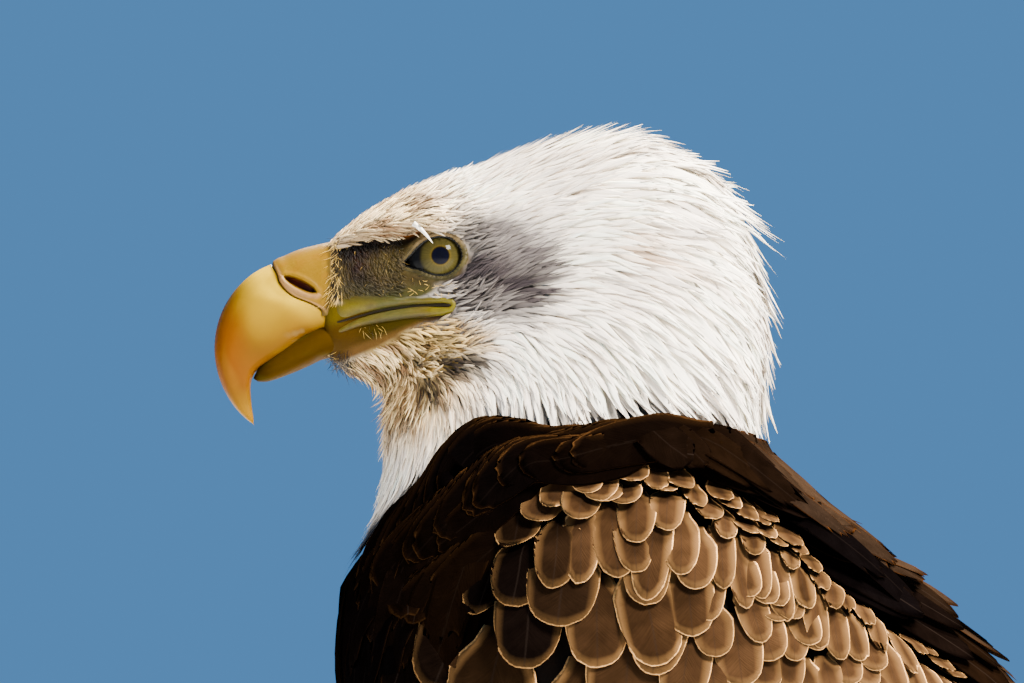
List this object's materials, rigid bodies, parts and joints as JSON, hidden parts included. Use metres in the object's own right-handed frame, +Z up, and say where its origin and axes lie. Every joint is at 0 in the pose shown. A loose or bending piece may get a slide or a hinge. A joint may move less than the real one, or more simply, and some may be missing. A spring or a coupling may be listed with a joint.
{
  "type": "bald eagle",
  "caption": "Adult white-headed sea eagle standing alert with folded wings, white head and tail, brown body, yellow hooked bill and bare yellow feet with black claws.",
  "frame": {"origin": "middle of the whole bird's box in plan, on the floor under its soles", "axes": "+Z up, the bird faces -X, +Y is its right side"},
  "size_m": [0.517, 0.197, 0.5925],
  "materials": {
    "white_plumage": "off-white layered feathers, soft and matt, thin pointed hackles on the neck and fine hair-like feathers on the cheeks",
    "brown_plumage": "dark chocolate feathers with paler tan edges, matt, in overlapping rows",
    "bill_horn": "orange-yellow keratin, worn semi-gloss, fine growth lines and small chips",
    "cere_skin": "bright yellow bare waxy skin, faintly wrinkled",
    "lower_horn": "olive-mustard keratin, worn semi-gloss",
    "face_skin": "bare olive-grey skin of the lores and gape, mottled and finely creased, yellow at the corner of the mouth",
    "eye": "wet clear cornea over a pale olive-cream iris and a black pupil",
    "shank_skin": "yellow scaled skin, rows of plates over the front of the shank and toes, pebbled elsewhere",
    "claw_horn": "black keratin, semi-gloss, grooved underneath"
  },
  "bodies": {
    "root": {"bill_upper": "bill_horn", "cere": "cere_skin", "bill_lower": "lower_horn", "head": "white_plumage", "eye_left": "eye", "eye_right": "eye", "neck": "white_plumage", "trunk": "brown_plumage", "tail": "white_plumage", "wing_left_coverts": "brown_plumage", "wing_left_secondaries": "brown_plumage", "wing_left_primaries": "brown_plumage", "thigh_left": "brown_plumage", "shank_left": "shank_skin", "toe_left_hind": "shank_skin", "claw_left_hind": "claw_horn", "toe_left_inner": "shank_skin", "claw_left_inner": "claw_horn", "toe_left_middle": "shank_skin", "claw_left_middle": "claw_horn", "toe_left_outer": "shank_skin", "claw_left_outer": "claw_horn", "wing_right_coverts": "brown_plumage", "wing_right_secondaries": "brown_plumage", "wing_right_primaries": "brown_plumage", "thigh_right": "brown_plumage", "shank_right": "shank_skin", "toe_right_hind": "shank_skin", "claw_right_hind": "claw_horn", "toe_right_inner": "shank_skin", "claw_right_inner": "claw_horn", "toe_right_middle": "shank_skin", "claw_right_middle": "claw_horn", "toe_right_outer": "shank_skin", "claw_right_outer": "claw_horn"}
  },
  "joints": []
}
